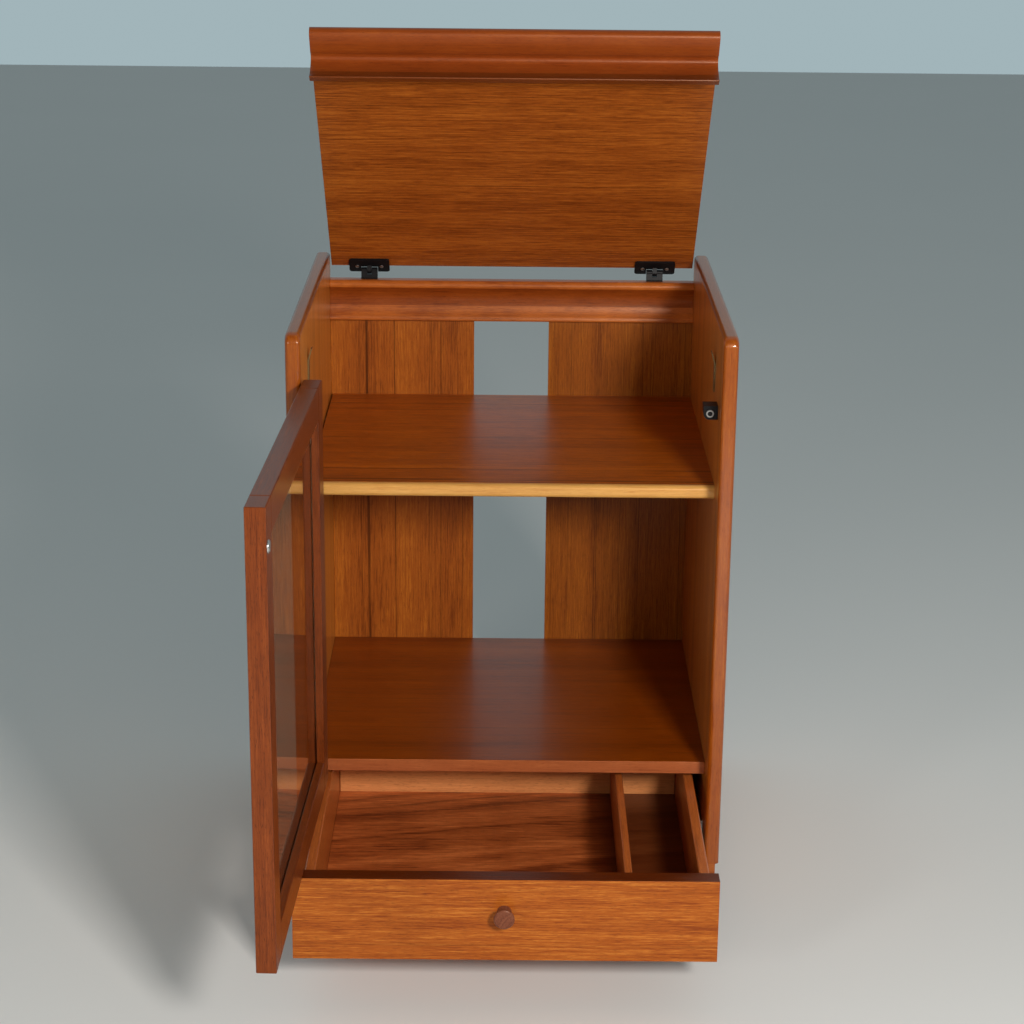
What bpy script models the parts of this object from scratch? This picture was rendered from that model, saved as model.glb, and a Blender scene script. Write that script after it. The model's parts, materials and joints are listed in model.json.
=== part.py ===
"""Teak cabinet with a lift-up lid, a framed glass door and a drawer.

Each moving group is drawn shut, in the cabinet's own frame, and then turned or slid to its rest
pose: lid up, door open, drawer out. X runs to the right, Y to the back and Z up from the floor.
"""

import math

import bmesh
import bpy

MM = 0.001
GAP = 0.3  # running gap between neighbouring solids

# Cabinet, mm. Y is counted from the front edges of the sides.
INSIDE = 485.0
SIDE = 18.0
DEPTH = 464.0
PLINTH = 40.0
SIDE_TOP = 722.0
BOARD = 16.0
BOTTOM_TOP = 58.0
LOWER_TOP = 177.5
SHELF_TOP = 529.4
BACK_FRONT = 456.0
BACK_GAP = 50.0
EDGE_ROUND = 5.0
CORNER_ROUND = 13.0
HALF = INSIDE / 2
OUTER = HALF + SIDE
BOX_CENTRE_Y = 0.96  # middle of the whole object's box, which becomes Y = 0

# Lid
LID_ANGLE = 48.2
LID_PIVOT = (459.8, 698.4)
LID_UNDER = 704.0
LID_THICK = 15.6
LID_REAR = 457.1
LID_FRONT = 4.1
LID_HALF = 240.2
LID_HINGE_X = 189.8
FASCIA_FRONT = 37.1
FASCIA_BACK = 48.3
FASCIA_BOTTOM = 668.0

# Door
DOOR_ANGLE = 92.0
DOOR_PIN = (-242.9, 12.1)
DOOR_FRONT = 15.0
DOOR_THICK = 21.5
DOOR_HALF = 240.5
DOOR_BOTTOM = 164.4
DOOR_TOP = 666.4
FRAME_WIDTH = 38.0
GLASS = 4.0
GLASS_BACK = 10.0
GROOVE = 8.0
HINGE_LENGTH = 50.0
HINGE_MIDDLES = (205.0, 625.0)
BARREL = 3.3
PIN = 1.5
CATCH_Z = 621.8
CATCH_X = 233.0
STRIKE_Z = 624.0

# Drawer
DRAWER_OUT = 264.5
DRAWER_HALF = 239.5
DRAWER_MIDDLE = -1.6
DRAWER_FRONT_Y = (16.5, 38.0)
DRAWER_FRONT_Z = (59.3, 159.8)
DRAWER_SIDE_X = (217.3, 229.4)
DRAWER_SIDE_Z = (64.0, 150.5)
DRAWER_BACK_Y = (436.0, 448.0)
DRAWER_FLOOR_Z = (68.0, 72.5)
DIVIDER_X = (133.0, 142.5)
KNOB_Z = 119.8
KNOB_X = -3.0
KNOB_LENGTH = 19.0

TEAK = ("teak", (0.42, 0.15, 0.035), 0.35)
RED_TEAK = ("red_teak", (0.30, 0.085, 0.03), 0.35)
MAPLE = ("maple", (0.72, 0.46, 0.2), 0.35)
BLACK = ("black_plastic", (0.02, 0.02, 0.02), 0.4)
BRASS = ("brass", (0.65, 0.48, 0.2), 0.35)
STEEL = ("steel", (0.6, 0.6, 0.6), 0.25)
CLEAR = ("clear_glass", (0.85, 0.92, 0.9), 0.05)


def clear_scene():
    for obj in list(bpy.data.objects):
        bpy.data.objects.remove(obj, do_unlink=True)


def material(spec):
    name, colour, roughness = spec
    found = bpy.data.materials.get(name)
    if found:
        return found
    made = bpy.data.materials.new(name)
    made.use_nodes = True
    shader = made.node_tree.nodes["Principled BSDF"]
    shader.inputs["Base Color"].default_value = (*colour, 1.0)
    shader.inputs["Roughness"].default_value = roughness
    return made


def loft(name, rings, spec):
    """One closed solid skinned over rings that have the same number of points, with flat caps."""
    bm = bmesh.new()
    rows = [[bm.verts.new([value * MM for value in point]) for point in ring] for ring in rings]
    count = len(rows[0])
    for low, high in zip(rows, rows[1:]):
        for i in range(count):
            j = (i + 1) % count
            bm.faces.new((low[i], low[j], high[j], high[i]))
    bm.faces.new(list(reversed(rows[0])))
    bm.faces.new(rows[-1])
    bmesh.ops.remove_doubles(bm, verts=bm.verts[:], dist=1e-6)
    bmesh.ops.recalc_face_normals(bm, faces=bm.faces[:])
    mesh = bpy.data.meshes.new(name)
    bm.to_mesh(mesh)
    bm.free()
    obj = bpy.data.objects.new(name, mesh)
    obj.data.materials.append(material(spec))
    bpy.context.scene.collection.objects.link(obj)
    return obj


def prism(name, outline, low, high, axis, spec):
    """An outline drawn across an axis and extruded along it from low to high."""
    place = {
        "X": lambda a, b, t: (t, a, b),
        "Y": lambda a, b, t: (a, t, b),
        "Z": lambda a, b, t: (a, b, t),
    }[axis]
    return loft(name, [[place(a, b, t) for a, b in outline] for t in (low, high)], spec)


def box(name, x, y, z, spec, soften=0.0):
    corners = [(x[0], y[0]), (x[1], y[0]), (x[1], y[1]), (x[0], y[1])]
    obj = prism(name, corners, z[0], z[1], "Z", spec)
    if soften:
        bevel = obj.modifiers.new("soften", "BEVEL")
        bevel.width = soften * MM
        bevel.segments = 2
        bevel.limit_method = "ANGLE"
    return obj


def arc(centre, radius, start, end, steps):
    """Points along an arc, in degrees, both ends included."""
    angles = [math.radians(start + (end - start) * i / steps) for i in range(steps + 1)]
    return [(centre[0] + radius * math.cos(a), centre[1] + radius * math.sin(a)) for a in angles]


def circle(centre, radius, steps=20):
    return arc(centre, radius, 0, 360 - 360 / steps, steps - 1)


def cutter(name, outline, low, high, axis):
    """A hidden solid that a Boolean takes away or adds."""
    obj = prism(name, outline, low, high, axis, BLACK)
    obj.hide_render = True
    obj.display_type = "WIRE"
    tools = bpy.data.collections.get("cutters")
    if tools is None:
        tools = bpy.data.collections.new("cutters")
        tools.hide_render = True
        bpy.context.scene.collection.children.link(tools)
    bpy.context.scene.collection.objects.unlink(obj)
    tools.objects.link(obj)
    return obj


def combine(obj, other, operation):
    step = obj.modifiers.new(other.name, "BOOLEAN")
    step.operation = operation
    step.solver = "EXACT"
    step.object = other


def apply_modifiers(obj):
    """Bakes the modifiers in, so that the object can be turned without its cutters."""
    bpy.context.view_layer.update()
    graph = bpy.context.evaluated_depsgraph_get()
    baked = bpy.data.meshes.new_from_object(obj.evaluated_get(graph))
    obj.modifiers.clear()
    obj.data = baked


def rectangle(a, b):
    return [(a[0], b[0]), (a[1], b[0]), (a[1], b[1]), (a[0], b[1])]


# ---------------------------------------------------------------- cabinet


def side_slice(x, inset):
    """The side's outline at one depth of its thickness, drawn in where its edge is rounded."""
    top = SIDE_TOP - inset
    front = arc((CORNER_ROUND, SIDE_TOP - CORNER_ROUND), CORNER_ROUND - inset, 180, 90, 5)
    rear = [(DEPTH, top - 3.0), (DEPTH, BOTTOM_TOP + GAP)]
    outline = [(inset, BOTTOM_TOP + GAP), *front, (DEPTH - 3.0, top), *rear]
    return [(x, y, z) for y, z in outline]


def side_panel(name, sign):
    """A veneered board whose front and top edges are a half round."""
    rings = []
    for step in range(6):
        angle = math.radians(90 * step / 5)
        inset = EDGE_ROUND * (1 - math.sin(angle))
        rings.append((HALF + EDGE_ROUND * (1 - math.cos(angle)), inset))
    outer = [(HALF + OUTER - x, inset) for x, inset in reversed(rings)]
    return loft(name, [side_slice(sign * x, inset) for x, inset in rings + outer], TEAK)


def side_panels():
    side_panel("side_panel_right", 1)
    left = side_panel("side_panel_left", -1)
    for index, middle in enumerate(HINGE_MIDDLES):
        reach = HINGE_LENGTH / 2 + GAP
        mortise = rectangle((-HALF - 5.0, -HALF + 1.0), (DOOR_PIN[1] - BARREL - GAP, 36.0))
        tool = cutter(f"mortise_{index}", mortise, middle - reach, middle + reach, "Z")
        combine(left, tool, "DIFFERENCE")


def boards():
    inner = HALF - GAP
    rear = BACK_FRONT - GAP
    box("bottom_board", (-256.5, 256.5), (3, DEPTH - 2), (PLINTH, BOTTOM_TOP), TEAK, 1.0)
    box("lower_board", (-inner, inner), (38.6, rear), (LOWER_TOP - BOARD, LOWER_TOP), TEAK, 0.6)
    shelf_x = (-HALF + 1.9, HALF - GAP)
    shelf_z = (SHELF_TOP - BOARD, SHELF_TOP)
    box("middle_shelf", shelf_x, (55.3, rear), shelf_z, TEAK)
    nose = [
        (55.0, shelf_z[0]),
        (55.0, shelf_z[1]),
        *arc((52.0, shelf_z[1] - 5.0), 5.0, 90, 180, 4),
        *arc((52.0, shelf_z[0] + 5.0), 5.0, 180, 270, 4),
    ]
    prism("shelf_lipping", nose, *shelf_x, "X", MAPLE)


def shelf_supports():
    under = SHELF_TOP - BOARD - GAP
    for name, sign, y in (
        ("shelf_support_front_left", -1, 90),
        ("shelf_support_back_left", -1, 400),
        ("shelf_support_front_right", 1, 90),
        ("shelf_support_back_right", 1, 400),
    ):
        x = sorted((sign * (HALF - GAP), sign * (HALF - 11)))
        box(name, x, (y - 6, y + 6), (under - 4, under), STEEL, 0.6)


def back():
    bottom = BOTTOM_TOP + GAP
    rail_low = 632.9
    inner = HALF - GAP
    for name, x in (("back_panel_left", (-inner, -BACK_GAP)), ("back_panel_right", (BACK_GAP, inner))):
        box(name, x, (BACK_FRONT, DEPTH), (bottom, rail_low - GAP), TEAK)
    rear = DEPTH
    profile = [
        (rear, rail_low),
        (rear, 687.4),
        (452.0, 687.4),
        *arc((452.0, 680.9), 6.5, 100, 215, 6),
        (449.6, 673.0),
        (452.0, 668.0),
        (452.9, 661.0),
        (452.2, 653.0),
        (449.9, 645.0),
        (446.8, 638.5),
        *arc((448.2, 635.0), 2.1, 160, 270, 3),
    ]
    prism("back_rail", profile, -inner, inner, "X", TEAK)


def plinth():
    top = PLINTH - GAP
    low = 3.0
    half = 232.0
    front, rear = 30.0, 438.0
    box("plinth_front", (-half, half), (front, front + 16), (low, top), TEAK, 0.8)
    box("plinth_back", (-half, half), (rear - 16, rear), (low, top), TEAK, 0.8)
    between = (front + 16 + GAP, rear - 16 - GAP)
    box("plinth_left", (-half, -half + 16), between, (low, top), TEAK, 0.8)
    box("plinth_right", (half - 16, half), between, (low, top), TEAK, 0.8)
    for name, x, y in (
        ("glide_front_left", -half + 14, front + 8),
        ("glide_front_right", half - 14, front + 8),
        ("glide_back_left", -half + 14, rear - 8),
        ("glide_back_right", half - 14, rear - 8),
    ):
        prism(name, circle((x, y), 7.5, 16), 0.0, low - GAP, "Z", BLACK)


def slot_brackets():
    """Thin brass guide plates on both sides, with their top ends bent inwards."""
    outer, skin = HALF - GAP, 1.3
    low, neck, high = 633.2, 667.0, 681.0
    bent = HALF - 5.4
    for name, sign in (("slot_bracket_left", -1), ("slot_bracket_right", 1)):
        outline = [
            (outer, low),
            (outer, neck + 0.6),
            (bent + skin, high),
            (bent, high),
            (outer - skin, neck),
            (outer - skin, low),
        ]
        prism(name, [(sign * x, z) for x, z in outline], 94.0, 106.0, "Y", BRASS)


def catch():
    """A magnetic catch: a block with a round lower end and a magnet in its face."""
    wall, face, reach = HALF - GAP, CATCH_X - 7.4, 7.0
    outline = [
        (wall, CATCH_Z + 8.4),
        (face, CATCH_Z + 8.4),
        *arc((face + reach, CATCH_Z - 1.0), reach, 180, 270, 5),
        (wall, CATCH_Z - 1.0 - reach),
    ]
    housing = prism("catch_housing", outline, 41.0, 62.0, "Y", BLACK)
    socket = cutter("catch_socket", circle((CATCH_X, CATCH_Z - 0.6), 5.0, 24), 38.0, 43.0, "Y")
    combine(housing, socket, "DIFFERENCE")
    prism("catch_magnet", circle((CATCH_X, CATCH_Z - 0.6), 4.7, 24), 39.6, 42.7, "Y", STEEL)


def runner_rails():
    """Fixed channels that the drawer's slides run in."""
    web, mouth = (HALF - GAP, HALF - 1.6), HALF - 10.4
    low, high, skin = 72.0, 97.0, 1.4
    for name, sign in (("runner_rail_left", -1), ("runner_rail_right", 1)):
        outline = [
            (web[0], low),
            (web[0], high),
            (mouth, high),
            (mouth, high - skin),
            (web[1], high - skin),
            (web[1], low + skin),
            (mouth, low + skin),
            (mouth, low),
        ]
        prism(name, [(sign * x, z) for x, z in outline], 40.0, 445.0, "Y", STEEL)


def lid_hinge_base(name, x):
    """Two round-topped posts on the rail's top, with the lid's knuckle between them."""
    y, z = LID_PIVOT
    foot, radius = 687.7, 4.2
    post, slot = 10.75, 3.25
    outline = [(y - 5.4, foot), (y - 5.4, foot + 2.0), *arc((y, z), radius, 190, 0, 10), (y + 4.0, foot)]
    base = prism(name, outline, x - post, x + post, "X", BLACK)
    gap_z = (z - 4.8, z + 8.0)
    tool = cutter(name + "_slot", rectangle((y - 9.0, y + 9.0), gap_z), x - slot, x + slot, "X")
    combine(base, tool, "DIFFERENCE")
    hole = cutter(name + "_bore", circle((y, z), PIN + 0.25, 12), x - 12, x + 12, "X")
    combine(base, hole, "DIFFERENCE")


def lid_hinges_fixed():
    for side, sign in (("left", -1), ("right", 1)):
        x = sign * LID_HINGE_X
        lid_hinge_base(f"lid_hinge_base_{side}", x)
        prism(f"lid_hinge_pin_{side}", circle(LID_PIVOT, PIN, 12), x - 10.75, x + 10.75, "X", STEEL)


def knuckle_outline(leaf_x, reach):
    """A hinge barrel seen from above, with the start of its leaf."""
    x, y = DOOR_PIN
    low, high = leaf_x
    first = math.degrees(math.acos((high - x) / BARREL))
    last = math.degrees(math.acos((low - x) / BARREL))
    return [*arc((x, y), BARREL, first, last - 360, 16), (low, y + reach), (high, y + reach)]


def door_hinge_leaf(name, middle, leaf_x, knuckles, leaf_y, spec):
    half = HINGE_LENGTH / 2
    leaf = box(name, leaf_x, leaf_y, (middle - half, middle + half), spec)
    for index, (low, high) in enumerate(knuckles):
        outline = knuckle_outline(leaf_x, leaf_y[0] - DOOR_PIN[1] + 2.0)
        part = cutter(f"{name}_knuckle_{index}", outline, middle + low, middle + high, "Z")
        combine(leaf, part, "UNION")
    bore = cutter(name + "_bore", circle(DOOR_PIN, PIN + 0.25, 12), middle - half - 2, middle + half + 2, "Z")
    combine(leaf, bore, "DIFFERENCE")
    apply_modifiers(leaf)
    return leaf


def door_hinges_fixed():
    half = HINGE_LENGTH / 2
    third = HINGE_LENGTH / 6
    for place, middle in zip(("bottom", "top"), HINGE_MIDDLES):
        knuckles = ((-half, -third - GAP / 2), (third + GAP / 2, half))
        leaf_x = (-HALF - 2.0, -HALF - 0.4)
        name = f"door_hinge_{place}_side_leaf"
        door_hinge_leaf(name, middle, leaf_x, knuckles, (17.0, 35.0), BRASS)
        name = f"door_hinge_{place}_pin"
        prism(name, circle(DOOR_PIN, PIN, 12), middle - half, middle + half, "Z", BRASS)


def cabinet():
    side_panels()
    boards()
    shelf_supports()
    back()
    plinth()
    slot_brackets()
    catch()
    runner_rails()
    lid_hinges_fixed()
    door_hinges_fixed()


# ---------------------------------------------------------------- lid


def lid_nosing():
    """The moulded front of the lid: a round nose, a hollow behind it and a fascia that hangs down."""
    radius = LID_THICK / 2
    top = LID_UNDER + LID_THICK
    hollow = (
        (32.0, -2.0),
        (35.0, -0.3),
        (38.5, 0.2),
        (41.5, -2.0),
        (43.0, -7.5),
        (43.0, -15.0),
        (41.4, -23.5),
        (39.2, -30.5),
        (37.1, -34.8),
    )
    profile = [
        (FASCIA_BACK, top),
        *arc((LID_FRONT + radius, LID_UNDER + radius), radius, 90, 240, 10),
        *[(y, LID_UNDER + z) for y, z in hollow],
        (FASCIA_FRONT + 0.9, FASCIA_BOTTOM),
        (FASCIA_BACK - 1.0, FASCIA_BOTTOM),
        (FASCIA_BACK, FASCIA_BOTTOM + 1.0),
    ]
    return prism("lid_nosing", profile, -LID_HALF, LID_HALF, "X", TEAK)


def lid_hinge_plate(name, x):
    """A flat plate under the lid, notched round the posts, with a knuckle on the pivot."""
    half, notch, corner = 26.7, 11.2, 3.5
    front, rear, notch_end = LID_REAR - 16.2, LID_REAR + 8.7, LID_PIVOT[0] - 4.7
    outline = [
        *arc((x - half + corner, front + corner), corner, 180, 270, 3),
        *arc((x + half - corner, front + corner), corner, 270, 360, 3),
        *arc((x + half - corner, rear - corner), corner, 0, 90, 3),
        (x + notch, rear),
        (x + notch, notch_end),
        (x - notch, notch_end),
        (x - notch, rear),
        *arc((x - half + corner, rear - corner), corner, 90, 180, 3),
    ]
    top = LID_UNDER - GAP
    plate = prism(name, outline, top - 3.0, top, "Z", BLACK)
    y, z = LID_PIVOT
    knuckle = [*arc((y, z), 4.4, 60, -150, 12), (notch_end - 3.0, top - 2.6), (notch_end - 3.0, top - 0.4)]
    tongue = cutter(name + "_knuckle", knuckle, x - 2.9, x + 2.9, "X")
    combine(plate, tongue, "UNION")
    bore = cutter(name + "_bore", circle((y, z), PIN + 0.25, 12), x - 12, x + 12, "X")
    combine(plate, bore, "DIFFERENCE")
    apply_modifiers(plate)
    return plate


def lid():
    rear, front = LID_REAR, FASCIA_BACK + GAP
    top = LID_UNDER + LID_THICK
    parts = [box("lid_panel", (-LID_HALF, LID_HALF), (front, rear), (LID_UNDER, top), TEAK, 0.6), lid_nosing()]
    head_z = LID_UNDER - GAP - 3.0 - GAP
    for side, sign in (("left", -1), ("right", 1)):
        x = sign * LID_HINGE_X
        parts.append(lid_hinge_plate(f"lid_hinge_plate_{side}", x))
        for index, reach in ((1, -16.0), (2, 16.0)):
            name = f"lid_hinge_screw_{side}_{index}"
            spot = (x + reach, LID_REAR - 3.0)
            rings = [
                [(px, py, z) for px, py in circle(spot, radius, 16)]
                for z, radius in ((head_z, 2.9), (head_z - 0.5, 2.7), (head_z - 0.9, 1.7))
            ]
            parts.append(loft(name, rings, STEEL))
    return parts


# ---------------------------------------------------------------- door


def frame_section(outer, inner, closed_y, depth):
    """A frame member's section, with a groove for the glass in its inner edge."""
    low, high = closed_y[1] - GLASS_BACK - GLASS - GAP, closed_y[1] - GLASS_BACK + GAP
    bottom = inner + math.copysign(depth, outer - inner) if depth else inner
    return [
        (outer, closed_y[0]),
        (inner, closed_y[0]),
        (inner, low),
        (bottom, low),
        (bottom, high),
        (inner, high),
        (inner, closed_y[1]),
        (outer, closed_y[1]),
    ]


def stile(name, outer, inner, y):
    """An upright member. Its groove stops inside the rails' width."""
    low, high = DOOR_BOTTOM + FRAME_WIDTH - GROOVE, DOOR_TOP - FRAME_WIDTH + GROOVE
    levels = ((DOOR_BOTTOM, 0), (low, 0), (low, GROOVE), (high, GROOVE), (high, 0), (DOOR_TOP, 0))
    rings = []
    for z, depth in levels:
        rings.append([(px, py, z) for px, py in frame_section(outer, inner, y, depth)])
    return loft(name, rings, RED_TEAK)


def door():
    y = (DOOR_FRONT, DOOR_FRONT + DOOR_THICK)
    inner_x = DOOR_HALF - FRAME_WIDTH
    parts = []
    for name, sign in (("door_stile_hinge", -1), ("door_stile_free", 1)):
        parts.append(stile(name, sign * DOOR_HALF, sign * inner_x, y))
    reach = inner_x - GAP
    for name, outer, inner in (
        ("door_rail_bottom", DOOR_BOTTOM, DOOR_BOTTOM + FRAME_WIDTH),
        ("door_rail_top", DOOR_TOP, DOOR_TOP - FRAME_WIDTH),
    ):
        section = [(b, a) for a, b in frame_section(outer, inner, y, GROOVE)]
        parts.append(prism(name, section, -reach, reach, "X", RED_TEAK))
    pane = GROOVE - 0.8
    glass_y = (y[1] - GLASS_BACK - GLASS, y[1] - GLASS_BACK)
    glass_z = (DOOR_BOTTOM + FRAME_WIDTH - pane, DOOR_TOP - FRAME_WIDTH + pane)
    parts.append(box("door_glass", (-inner_x - pane, inner_x + pane), glass_y, glass_z, CLEAR))
    face = y[1] + GAP
    rings = [
        [(px, level, pz) for px, pz in circle((CATCH_X - 1.5, STRIKE_Z), radius, 24)]
        for level, radius in ((face, 7.2), (face + 1.0, 7.0), (face + 2.0, 5.4), (face + 2.4, 2.6))
    ]
    parts.append(loft("door_strike", rings, STEEL))
    third = HINGE_LENGTH / 6
    for place, middle in zip(("bottom", "top"), HINGE_MIDDLES):
        name = f"door_hinge_{place}_door_leaf"
        leaf_x = (-HALF + 0.3, -DOOR_HALF - GAP)
        knuckle = ((-third + GAP / 2, third - GAP / 2),)
        parts.append(door_hinge_leaf(name, middle, leaf_x, knuckle, (17.0, 35.0), BRASS))
    return parts


# ---------------------------------------------------------------- drawer


def drawer_knob():
    """A turned wooden knob on the middle of the front."""
    front = DRAWER_FRONT_Y[0] - GAP
    turned = ((0.0, 8.6), (4.0, 7.4), (9.0, 7.8), (14.0, 10.6), (16.6, 11.8), (18.4, 11.4), (KNOB_LENGTH, 10.4))
    rings = [
        [(px, front - out, pz) for px, pz in circle((KNOB_X, KNOB_Z), radius, 28)]
        for out, radius in turned
    ]
    return loft("drawer_knob", rings, RED_TEAK)


def drawer_slides():
    parts = []
    for name, sign in (("drawer_slide_left", -1), ("drawer_slide_right", 1)):
        x = sorted((sign * (DRAWER_SIDE_X[1] + GAP), sign * (HALF - 3.0)))
        parts.append(box(name, x, (42.0, 440.0), (75.5, 93.5), STEEL, 0.8))
    return parts


def drawer():
    front_y = DRAWER_FRONT_Y
    inner, outer = DRAWER_SIDE_X
    side_y = (front_y[1] + GAP, DRAWER_BACK_Y[1])
    floor_y = (front_y[1] + GAP, DRAWER_BACK_Y[0] - GAP)
    front_x = (DRAWER_MIDDLE - DRAWER_HALF, DRAWER_MIDDLE + DRAWER_HALF)
    parts = [box("drawer_front", front_x, front_y, DRAWER_FRONT_Z, TEAK, 0.5)]
    for name, sign in (("drawer_side_left", -1), ("drawer_side_right", 1)):
        x = sorted((sign * inner, sign * outer))
        parts.append(box(name, x, side_y, DRAWER_SIDE_Z, TEAK, 1.6))
    width = (-inner + GAP, inner - GAP)
    parts.append(box("drawer_back", width, DRAWER_BACK_Y, (DRAWER_SIDE_Z[0], 148.0), TEAK, 1.0))
    parts.append(box("drawer_bottom", width, floor_y, DRAWER_FLOOR_Z, TEAK))
    parts.append(box("drawer_divider", DIVIDER_X, floor_y, (DRAWER_FLOOR_Z[1] + GAP, 148.0), TEAK, 1.2))
    parts.append(drawer_knob())
    return parts + drawer_slides()


# ---------------------------------------------------------------- rest pose


def turn(parts, pivot, angles):
    """Moves each part's origin to the pivot and turns it about there."""
    for obj in parts:
        if obj.modifiers:
            apply_modifiers(obj)
        for vertex in obj.data.vertices:
            for axis in range(3):
                vertex.co[axis] -= pivot[axis] * MM
        obj.location = [value * MM for value in pivot]
        obj.rotation_euler = [math.radians(value) for value in angles]


def slide(parts, distance):
    for obj in parts:
        obj.location.y += distance * MM


clear_scene()
cabinet()
turn(lid(), (0.0, *LID_PIVOT), (-LID_ANGLE, 0.0, 0.0))
turn(door(), (*DOOR_PIN, 0.0), (0.0, 0.0, -DOOR_ANGLE))
slide(drawer(), -DRAWER_OUT)
slide(bpy.data.objects, -BOX_CENTRE_Y)
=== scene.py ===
"""Looks for the sewing table: veneer, lacquered wood, glass, brass, steel and black fittings.

Moving pieces are drawn shut, in millimetres in the row frame, and are then placed at rest with the
inverse of their joint's closing motion, so that a texture's object coordinates follow the piece.
"""

import json
import math

import bmesh
import bpy
from mathutils import Matrix, Vector


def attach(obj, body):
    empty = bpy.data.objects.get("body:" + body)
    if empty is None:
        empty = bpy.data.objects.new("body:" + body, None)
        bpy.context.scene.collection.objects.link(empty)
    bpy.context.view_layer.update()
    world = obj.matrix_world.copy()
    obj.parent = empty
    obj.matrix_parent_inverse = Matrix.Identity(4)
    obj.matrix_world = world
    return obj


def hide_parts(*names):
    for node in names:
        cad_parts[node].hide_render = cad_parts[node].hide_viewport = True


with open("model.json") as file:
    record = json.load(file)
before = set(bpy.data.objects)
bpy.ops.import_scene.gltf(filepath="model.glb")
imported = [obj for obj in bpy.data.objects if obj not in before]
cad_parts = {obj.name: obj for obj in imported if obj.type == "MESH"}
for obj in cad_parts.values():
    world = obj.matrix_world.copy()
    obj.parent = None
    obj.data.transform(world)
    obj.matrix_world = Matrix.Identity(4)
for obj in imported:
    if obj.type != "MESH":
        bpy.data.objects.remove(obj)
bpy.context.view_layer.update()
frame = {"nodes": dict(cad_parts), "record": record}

MM = 0.001
SHIFT = 0.96  # from the CAD's depths, counted from the front edges, to the row frame


# ---------------------------------------------------------------- frame


def closing(body):
    """The motion from rest to shut of a body, as a matrix in metres."""
    for joint in frame["record"]["behaviour"]["joints"]:
        if joint["child"] != body:
            continue
        axis = Vector(joint["axis"])
        if joint["type"] == "slide":
            return Matrix.Translation(axis * joint["range_m"][1])
        pivot = Matrix.Translation(Vector(joint["pos_m"]))
        turn = Matrix.Rotation(math.radians(joint["range_deg"][1]), 4, axis)
        return pivot @ turn @ pivot.inverted()
    return Matrix.Identity(4)


BODIES = ("cabinet", "lid", "door", "drawer")
CLOSE = {body: closing(body) for body in BODIES}
OPEN = {body: CLOSE[body].inverted() for body in BODIES}


def node_body(node):
    for body, nodes in frame["record"]["behaviour"]["bodies"].items():
        if node in nodes:
            return body
    raise KeyError(node)


def shut_box(node):
    """A CAD node's box with its body shut, as ((x, x), (y, y), (z, z)) in millimetres."""
    points = [CLOSE[node_body(node)] @ v.co for v in frame["nodes"][node].data.vertices]
    sides = ([point[axis] / MM for point in points] for axis in range(3))
    return [(min(side), max(side)) for side in sides]


# ---------------------------------------------------------------- meshes


def arc(centre, radius, start, end, steps):
    angles = [math.radians(start + (end - start) * i / steps) for i in range(steps + 1)]
    return [(centre[0] + radius * math.cos(a), centre[1] + radius * math.sin(a)) for a in angles]


def spline(p, q, r, e, t):
    """The Catmull-Rom value from q, at t = 0, to r, at t = 1."""
    square = 2 * p - 5 * q + 4 * r - e
    cube = 3 * q - p - 3 * r + e
    return 0.5 * (2 * q + (r - p) * t + square * t**2 + cube * t**3)


def curve(points, steps=4):
    """A smooth line through points of a section, given in the CAD's depths, as row-frame points."""
    ends = [points[0], *points, points[-1]]
    line = []
    for four in zip(ends, ends[1:], ends[2:], ends[3:]):
        for i in range(steps):
            line.append(tuple(spline(*values, i / steps) for values in zip(*four)))
    return [(y - SHIFT, z) for y, z in [*line, points[-1]]]


def circle(centre, radius, steps=32):
    return arc(centre, radius, 0, 360 - 360 / steps, steps - 1)


def finish_mesh(bm, name, body, materials, pick=None, bevel=0.0, segments=2, sharp=35):
    """Makes the piece, with smooth shading up to an angle, and rides it on its body."""
    bmesh.ops.recalc_face_normals(bm, faces=bm.faces[:])
    mesh = bpy.data.meshes.new(name)
    bm.normal_update()
    for face in bm.faces:
        face.smooth = True
        if pick:
            face.material_index = pick(face.calc_center_median() / MM, face.normal)
    bm.to_mesh(mesh)
    bm.free()
    mesh.set_sharp_from_angle(angle=math.radians(sharp))
    obj = bpy.data.objects.new(name, mesh)
    for material in materials:
        mesh.materials.append(material)
    bpy.context.scene.collection.objects.link(obj)
    if bevel:
        step = obj.modifiers.new("soft_edges", "BEVEL")
        step.width = bevel * MM
        step.segments = segments
        step.limit_method = "ANGLE"
        step.angle_limit = math.radians(sharp)
        step.harden_normals = True
    obj.matrix_world = OPEN[body]
    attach(obj, body)
    return obj


def lofted(rings):
    """A bmesh skinned over rings of points in millimetres, with a cap on the first and the last."""
    bm = bmesh.new()
    rows = [[bm.verts.new([value * MM for value in point]) for point in ring] for ring in rings]
    count = len(rows[0])
    for low, high in zip(rows, rows[1:]):
        for i in range(count):
            j = (i + 1) % count
            bm.faces.new((low[i], low[j], high[j], high[i]))
    bm.faces.new(list(reversed(rows[0])))
    bm.faces.new(rows[-1])
    return bm


def placed(outline, t, axis):
    """The outline's points at t along the axis."""
    if axis == "X":
        return [(t, a, b) for a, b in outline]
    if axis == "Y":
        return [(a, t, b) for a, b in outline]
    return [(a, b, t) for a, b in outline]


def prism(outline, low, high, axis):
    return lofted([placed(outline, low, axis), placed(outline, high, axis)])


def block(x, y, z):
    return prism([(x[0], y[0]), (x[1], y[0]), (x[1], y[1]), (x[0], y[1])], z[0], z[1], "Z")


def turned(profile, axis, centre, steps=48):
    """A solid of revolution. Its profile is places on the axis and radii, from end to end."""
    return lofted([placed(circle(centre, radius, steps), along, axis) for along, radius in profile])


# ---------------------------------------------------------------- materials


MIX_A, MIX_B, MIX_RESULT = 6, 7, 2  # a Mix node's sockets for colours


def darker(colour, by):
    return tuple(value * by for value in colour)


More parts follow.
